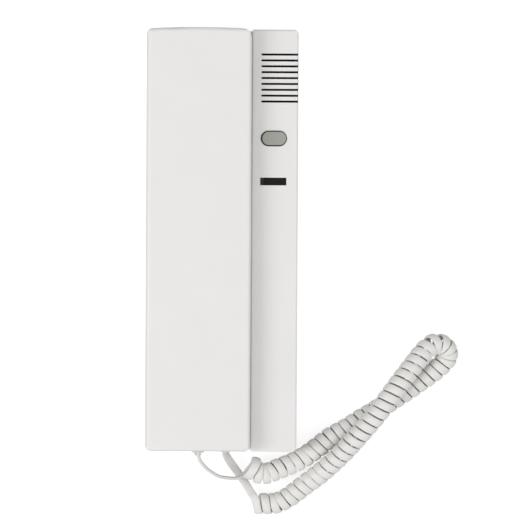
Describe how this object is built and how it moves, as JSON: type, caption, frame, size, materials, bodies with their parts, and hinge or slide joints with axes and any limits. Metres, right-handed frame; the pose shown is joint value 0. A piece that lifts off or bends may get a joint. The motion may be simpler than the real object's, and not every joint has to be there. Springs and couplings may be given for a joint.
{
  "type": "audio intercom handset",
  "caption": "Wall intercom for a flat: base with a raised control strip, a lift-off handset lying in its cradle, and a curly cord between them.",
  "frame": {"origin": "centre of the back of the intercom without its cord, on the plane of the wall", "axes": "+X across the front towards the control strip, +Y up the device towards the earpiece, +Z away from the wall"},
  "size_m": [0.1635, 0.2552, 0.044],
  "materials": {
    "shell_plastic": "moulded, satin, white",
    "plate_plastic": "moulded, light grey",
    "button_plastic": "moulded, grey",
    "dark_plastic": "moulded, black",
    "terminal_plastic": "moulded, blue",
    "window_plastic": "smoked, polished",
    "lamp_plastic": "tinted, clear",
    "board_laminate": "glass-fibre laminate with solder mask",
    "steel": "zinc plated",
    "speaker_metal": "dark painted frame",
    "capsule_metal": "drawn can",
    "capacitor_metal": "sleeved can",
    "cloth": "black woven screen",
    "seal_rubber": "soft moulded",
    "bush_pvc": "soft moulded, pale grey",
    "cord_pvc": "extruded, satin, white"
  },
  "bodies": {
    "base": {"wall_plate": "plate_plastic", "base_cover": "shell_plastic", "cover_screw": "steel", "circuit_board": "board_laminate", "board_screws": "steel", "call_speaker": "speaker_metal", "speaker_retainer": "dark_plastic", "grille_cloth": "cloth", "button_spring": "steel", "button_switch": "dark_plastic", "indicator_window": "window_plastic", "indicator_led": "lamp_plastic", "led_spacer": "plate_plastic", "hook_spring": "steel", "hook_switch": "dark_plastic", "terminal_block": "terminal_plastic", "terminal_screws": "steel", "audio_chip": "dark_plastic", "capacitors": "capacitor_metal", "base_cord_bush": "bush_pvc", "curly_cord": "cord_pvc"},
    "release_button": {"release_button": "button_plastic", "switch_plunger": "dark_plastic"},
    "hook_plunger": {"hook_plunger": "shell_plastic"},
    "handset": {"handset_front_shell": "shell_plastic", "handset_back_shell": "shell_plastic", "earpiece": "speaker_metal", "earpiece_gasket": "seal_rubber", "microphone": "capsule_metal", "microphone_boot": "seal_rubber", "counterweight": "steel", "handset_screws": "steel", "handset_cord_bush": "bush_pvc"}
  },
  "joints": [
    {"name": "handset_lift", "type": "slide", "parent": "base", "child": "handset", "axis": [0, 0, 1], "range_m": [0, 0.03]},
    {"name": "button_press", "type": "slide", "parent": "base", "child": "release_button", "axis": [0, 0, -1], "range_m": [0, 0.0012], "stiffness_N_per_m": 800, "springref_m": -0.0015, "deforming": ["button_spring"]},
    {"name": "hook_rise", "type": "slide", "parent": "base", "child": "hook_plunger", "axis": [0, 0, 1], "range_m": [0, 0.003], "deforming": ["hook_spring"]}
  ],
  "couplings": [
    {"joint": "hook_rise", "follows": "handset_lift", "ratio": 0.1}
  ]
}
